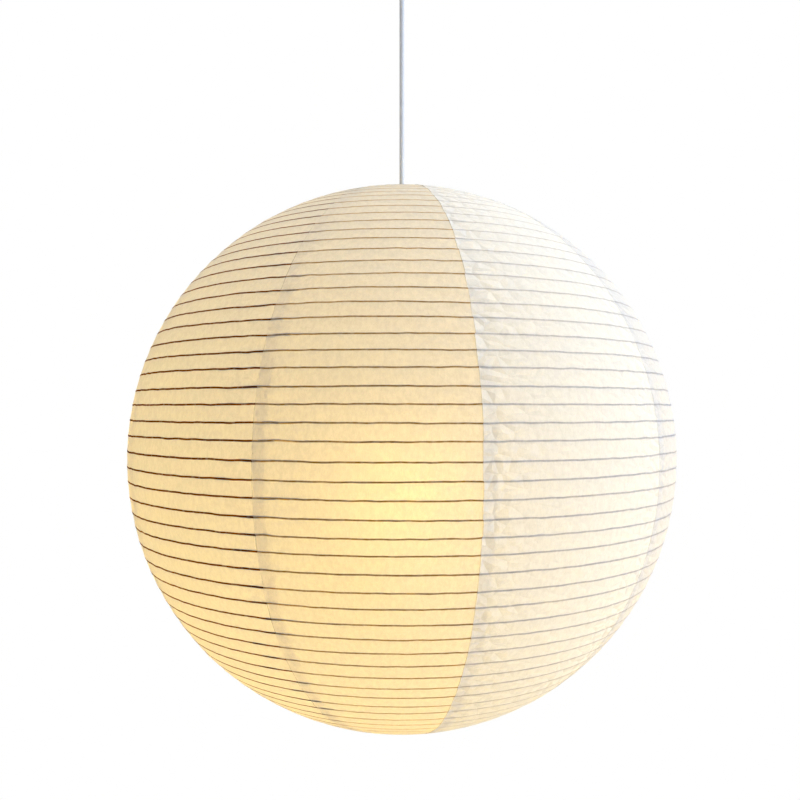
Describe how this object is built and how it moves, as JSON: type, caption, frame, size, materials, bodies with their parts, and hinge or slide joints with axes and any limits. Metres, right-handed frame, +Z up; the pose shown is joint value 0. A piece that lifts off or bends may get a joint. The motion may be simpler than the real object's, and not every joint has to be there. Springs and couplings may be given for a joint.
{
  "type": "paper lantern",
  "caption": "Round paper ceiling lantern with bamboo hoops, glued paper strips, a wire stretcher, lampholder, bulb, cord and ceiling canopy.",
  "frame": {"origin": "middle of the ceiling bracket's upper face, where the canopy's rim also meets the ceiling", "axes": "+Z up, out of the ceiling face; -Y is the front of the lantern; +X to the right seen from the front"},
  "size_m": [0.5975, 0.5975, 0.9044],
  "materials": {
    "washi_paper": "thin mulberry paper with long fibres, unbleached white, lit from inside",
    "bamboo": "thin split bamboo, dark seen against the light",
    "steel": "zinc-plated wire and sheet",
    "white_metal": "white powder coat",
    "white_plastic": "moulded white plastic",
    "flex_sheath": "smooth white flex sheath",
    "ceramic_insert": "unglazed ceramic insert",
    "brass": "plain brass shell",
    "opal_diffuser": "opal dome, glowing warm white",
    "bulb_metal": "rolled aluminium screw cap"
  },
  "bodies": {
    "ceiling_fitting": {"ceiling_bracket": "steel", "canopy": "white_metal", "canopy_screw_left": "steel", "canopy_screw_right": "steel", "terminal_block": "white_plastic", "cord_grip": "white_plastic", "grip_nut": "steel", "supply_tail": "flex_sheath"},
    "pendant": {"flex_cord": "flex_sheath", "strain_relief": "flex_sheath", "lampholder_cap": "white_plastic", "lampholder_body": "white_plastic", "contact_block": "ceramic_insert", "screw_shell": "brass", "stretcher_hub": "steel", "upper_arm_left": "steel", "upper_arm_right": "steel", "top_ring": "steel", "paper_gore_1": "washi_paper", "paper_gore_2": "washi_paper", "paper_gore_3": "washi_paper", "paper_gore_4": "washi_paper", "paper_gore_5": "washi_paper", "paper_gore_6": "washi_paper", "paper_gore_7": "washi_paper", "paper_gore_8": "washi_paper", "paper_gore_9": "washi_paper"},
    "shade_ring": {"shade_ring": "white_plastic"},
    "bulb": {"bulb_dome": "opal_diffuser", "bulb_skirt": "white_plastic", "bulb_cap": "bulb_metal"},
    "leg_left": {"lower_leg_left": "steel"},
    "leg_right": {"lower_leg_right": "steel"},
    "bottom_ring": {"bottom_ring": "steel"},
    "hoop_02": {"hoop_02": "bamboo"},
    "hoop_04": {"hoop_04": "bamboo"},
    "hoop_06": {"hoop_06": "bamboo"},
    "hoop_08": {"hoop_08": "bamboo"},
    "hoop_10": {"hoop_10": "bamboo"},
    "hoop_12": {"hoop_12": "bamboo"},
    "hoop_14": {"hoop_14": "bamboo"},
    "hoop_16": {"hoop_16": "bamboo"},
    "hoop_18": {"hoop_18": "bamboo"},
    "hoop_20": {"hoop_20": "bamboo"},
    "hoop_22": {"hoop_22": "bamboo"},
    "hoop_24": {"hoop_24": "bamboo"},
    "hoop_26": {"hoop_26": "bamboo"},
    "hoop_28": {"hoop_28": "bamboo"},
    "hoop_30": {"hoop_30": "bamboo"},
    "hoop_32": {"hoop_32": "bamboo"},
    "hoop_34": {"hoop_34": "bamboo"},
    "hoop_36": {"hoop_36": "bamboo"},
    "hoop_38": {"hoop_38": "bamboo"},
    "hoop_40": {"hoop_40": "bamboo"},
    "hoop_42": {"hoop_42": "bamboo"},
    "hoop_44": {"hoop_44": "bamboo"},
    "hoop_46": {"hoop_46": "bamboo"},
    "hoop_48": {"hoop_48": "bamboo"},
    "hoop_50": {"hoop_50": "bamboo"}
  },
  "joints": [
    {"name": "pendant_swing", "type": "hinge", "parent": "ceiling_fitting", "child": "pendant", "pos_m": [0, 0, -0.06], "axis": [0, 1, 0], "range_deg": [-15, 15]},
    {"name": "shade_collapse", "type": "slide", "parent": "pendant", "child": "bottom_ring", "axis": [0, 0, 1], "range_m": [0, 0.5146], "deforming": ["paper_gore_1", "paper_gore_2", "paper_gore_3", "paper_gore_4", "paper_gore_5", "paper_gore_6", "paper_gore_7", "paper_gore_8", "paper_gore_9"]},
    {"name": "collapse_hoop_02", "type": "slide", "parent": "pendant", "child": "hoop_02", "axis": [0, 0, 1], "range_m": [0, 0.0063]},
    {"name": "collapse_hoop_04", "type": "slide", "parent": "pendant", "child": "hoop_04", "axis": [0, 0, 1], "range_m": [0, 0.0154]},
    {"name": "collapse_hoop_06", "type": "slide", "parent": "pendant", "child": "hoop_06", "axis": [0, 0, 1], "range_m": [0, 0.0269]},
    {"name": "collapse_hoop_08", "type": "slide", "parent": "pendant", "child": "hoop_08", "axis": [0, 0, 1], "range_m": [0, 0.0411]},
    {"name": "collapse_hoop_10", "type": "slide", "parent": "pendant", "child": "hoop_10", "axis": [0, 0, 1], "range_m": [0, 0.0574]},
    {"name": "collapse_hoop_12", "type": "slide", "parent": "pendant", "child": "hoop_12", "axis": [0, 0, 1], "range_m": [0, 0.0756]},
    {"name": "collapse_hoop_14", "type": "slide", "parent": "pendant", "child": "hoop_14", "axis": [0, 0, 1], "range_m": [0, 0.0961]},
    {"name": "collapse_hoop_16", "type": "slide", "parent": "pendant", "child": "hoop_16", "axis": [0, 0, 1], "range_m": [0, 0.119]},
    {"name": "collapse_hoop_18", "type": "slide", "parent": "pendant", "child": "hoop_18", "axis": [0, 0, 1], "range_m": [0, 0.1426]},
    {"name": "collapse_hoop_20", "type": "slide", "parent": "pendant", "child": "hoop_20", "axis": [0, 0, 1], "range_m": [0, 0.1678]},
    {"name": "collapse_hoop_22", "type": "slide", "parent": "pendant", "child": "hoop_22", "axis": [0, 0, 1], "range_m": [0, 0.1948]},
    {"name": "collapse_hoop_24", "type": "slide", "parent": "pendant", "child": "hoop_24", "axis": [0, 0, 1], "range_m": [0, 0.2215]},
    {"name": "collapse_hoop_26", "type": "slide", "parent": "pendant", "child": "hoop_26", "axis": [0, 0, 1], "range_m": [0, 0.2495]},
    {"name": "collapse_hoop_28", "type": "slide", "parent": "pendant", "child": "hoop_28", "axis": [0, 0, 1], "range_m": [0, 0.277]},
    {"name": "collapse_hoop_30", "type": "slide", "parent": "pendant", "child": "hoop_30", "axis": [0, 0, 1], "range_m": [0, 0.3049]},
    {"name": "collapse_hoop_32", "type": "slide", "parent": "pendant", "child": "hoop_32", "axis": [0, 0, 1], "range_m": [0, 0.3318]},
    {"name": "collapse_hoop_34", "type": "slide", "parent": "pendant", "child": "hoop_34", "axis": [0, 0, 1], "range_m": [0, 0.3587]},
    {"name": "collapse_hoop_36", "type": "slide", "parent": "pendant", "child": "hoop_36", "axis": [0, 0, 1], "range_m": [0, 0.3844]},
    {"name": "collapse_hoop_38", "type": "slide", "parent": "pendant", "child": "hoop_38", "axis": [0, 0, 1], "range_m": [0, 0.4082]},
    {"name": "collapse_hoop_40", "type": "slide", "parent": "pendant", "child": "hoop_40", "axis": [0, 0, 1], "range_m": [0, 0.4307]},
    {"name": "collapse_hoop_42", "type": "slide", "parent": "pendant", "child": "hoop_42", "axis": [0, 0, 1], "range_m": [0, 0.4511]},
    {"name": "collapse_hoop_44", "type": "slide", "parent": "pendant", "child": "hoop_44", "axis": [0, 0, 1], "range_m": [0, 0.469]},
    {"name": "collapse_hoop_46", "type": "slide", "parent": "pendant", "child": "hoop_46", "axis": [0, 0, 1], "range_m": [0, 0.4851]},
    {"name": "collapse_hoop_48", "type": "slide", "parent": "pendant", "child": "hoop_48", "axis": [0, 0, 1], "range_m": [0, 0.4981]},
    {"name": "collapse_hoop_50", "type": "slide", "parent": "pendant", "child": "hoop_50", "axis": [0, 0, 1], "range_m": [0, 0.5082]},
    {"name": "leg_squeeze_left", "type": "hinge", "parent": "pendant", "child": "leg_left", "pos_m": [-0.048, 0, -0.565], "axis": [0, -1, 0], "range_deg": [0, 2.8], "stiffness_Nm_per_rad": 0.4, "springref_deg": -5.73},
    {"name": "leg_squeeze_right", "type": "hinge", "parent": "pendant", "child": "leg_right", "pos_m": [0.048, 0, -0.565], "axis": [0, 1, 0], "range_deg": [0, 2.9], "stiffness_Nm_per_rad": 0.4, "springref_deg": -5.73},
    {"name": "bulb_turn", "type": "hinge", "parent": "pendant", "child": "bulb", "pos_m": [0, 0, -0.5766], "axis": [0, 0, -1], "range_deg": [0, 1080]},
    {"name": "shade_ring_turn", "type": "hinge", "parent": "pendant", "child": "shade_ring", "pos_m": [0, 0, -0.5716], "axis": [0, 0, -1], "range_deg": [0, 1080]}
  ],
  "couplings": [
    {"joint": "collapse_hoop_02", "follows": "shade_collapse", "ratio": 0.01152},
    {"joint": "collapse_hoop_04", "follows": "shade_collapse", "ratio": 0.02922},
    {"joint": "collapse_hoop_06", "follows": "shade_collapse", "ratio": 0.05158},
    {"joint": "collapse_hoop_08", "follows": "shade_collapse", "ratio": 0.07902},
    {"joint": "collapse_hoop_10", "follows": "shade_collapse", "ratio": 0.11084},
    {"joint": "collapse_hoop_12", "follows": "shade_collapse", "ratio": 0.14623},
    {"joint": "collapse_hoop_14", "follows": "shade_collapse", "ratio": 0.18604},
    {"joint": "collapse_hoop_16", "follows": "shade_collapse", "ratio": 0.23055},
    {"joint": "collapse_hoop_18", "follows": "shade_collapse", "ratio": 0.27627},
    {"joint": "collapse_hoop_20", "follows": "shade_collapse", "ratio": 0.32535},
    {"joint": "collapse_hoop_22", "follows": "shade_collapse", "ratio": 0.37774},
    {"joint": "collapse_hoop_24", "follows": "shade_collapse", "ratio": 0.42969},
    {"joint": "collapse_hoop_26", "follows": "shade_collapse", "ratio": 0.48403},
    {"joint": "collapse_hoop_28", "follows": "shade_collapse", "ratio": 0.53757},
    {"joint": "collapse_hoop_30", "follows": "shade_collapse", "ratio": 0.59172},
    {"joint": "collapse_hoop_32", "follows": "shade_collapse", "ratio": 0.64401},
    {"joint": "collapse_hoop_34", "follows": "shade_collapse", "ratio": 0.69633},
    {"joint": "collapse_hoop_36", "follows": "shade_collapse", "ratio": 0.74613},
    {"joint": "collapse_hoop_38", "follows": "shade_collapse", "ratio": 0.79246},
    {"joint": "collapse_hoop_40", "follows": "shade_collapse", "ratio": 0.83626},
    {"joint": "collapse_hoop_42", "follows": "shade_collapse", "ratio": 0.87589},
    {"joint": "collapse_hoop_44", "follows": "shade_collapse", "ratio": 0.9107},
    {"joint": "collapse_hoop_46", "follows": "shade_collapse", "ratio": 0.94193},
    {"joint": "collapse_hoop_48", "follows": "shade_collapse", "ratio": 0.96717},
    {"joint": "collapse_hoop_50", "follows": "shade_collapse", "ratio": 0.98682},
    {"joint": "leg_squeeze_right", "follows": "leg_squeeze_left", "ratio": 1}
  ]
}
